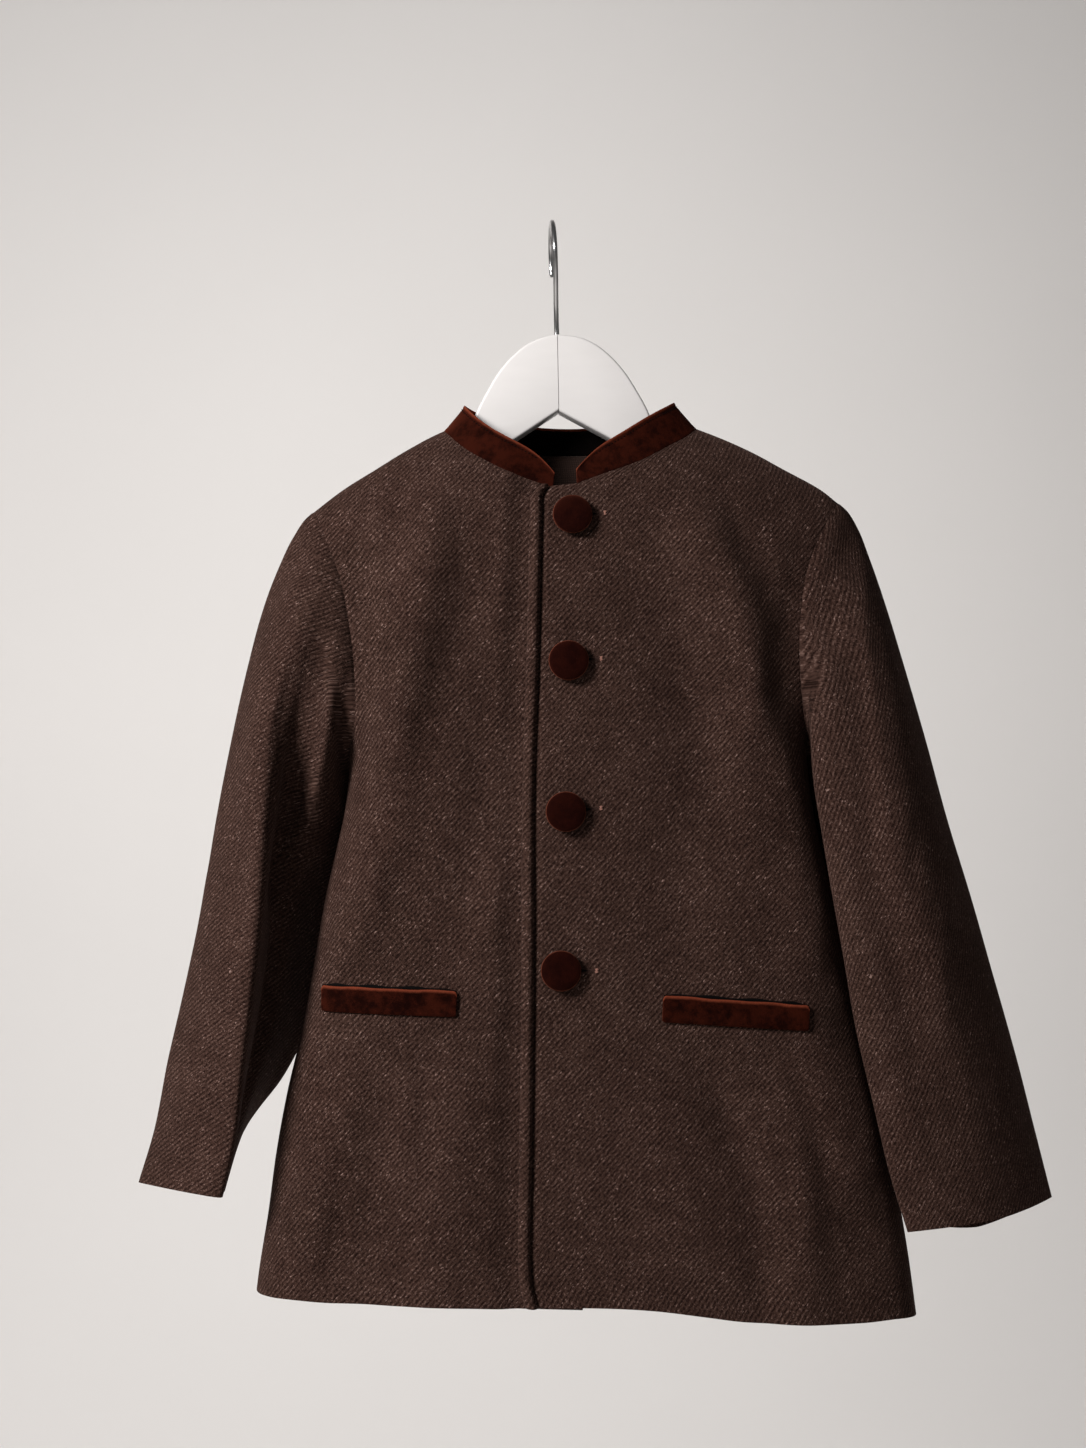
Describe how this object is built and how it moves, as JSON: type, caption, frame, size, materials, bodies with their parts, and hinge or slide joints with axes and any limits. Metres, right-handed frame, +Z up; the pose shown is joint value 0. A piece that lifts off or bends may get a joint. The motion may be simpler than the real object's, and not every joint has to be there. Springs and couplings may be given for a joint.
{
  "type": "jacket on a hanger",
  "caption": "Child's wool twill jacket with a velvet stand collar, covered buttons and pocket welts, hung on a white wooden hanger with a thin steel hook.",
  "frame": {"origin": "inner top of the hanger's hook, where the rail carries it", "axes": "+Z up, -Y the jacket's front, +X the wearer's left"},
  "size_m": [0.4991, 0.1054, 0.6056],
  "materials": {
    "cloth": "dark brown heather wool twill, matt",
    "velvet": "dark rust velvet with a soft sheen",
    "inner_collar": "black, matt",
    "neck_facing": "taupe, matt",
    "wood": "painted white, satin",
    "steel": "bright drawn wire"
  },
  "bodies": {
    "root": {"back": "cloth", "front_left": "cloth", "front_right": "cloth", "sleeve_left": "cloth", "sleeve_right": "cloth", "collar": "velvet", "collar_facing": "inner_collar", "neck_facing": "neck_facing", "welt_left": "velvet", "welt_right": "velvet", "button_1": "velvet", "button_2": "velvet", "button_3": "velvet", "button_4": "velvet", "hanger_left": "wood", "hanger_right": "wood", "hanger_hook": "steel"}
  },
  "joints": []
}
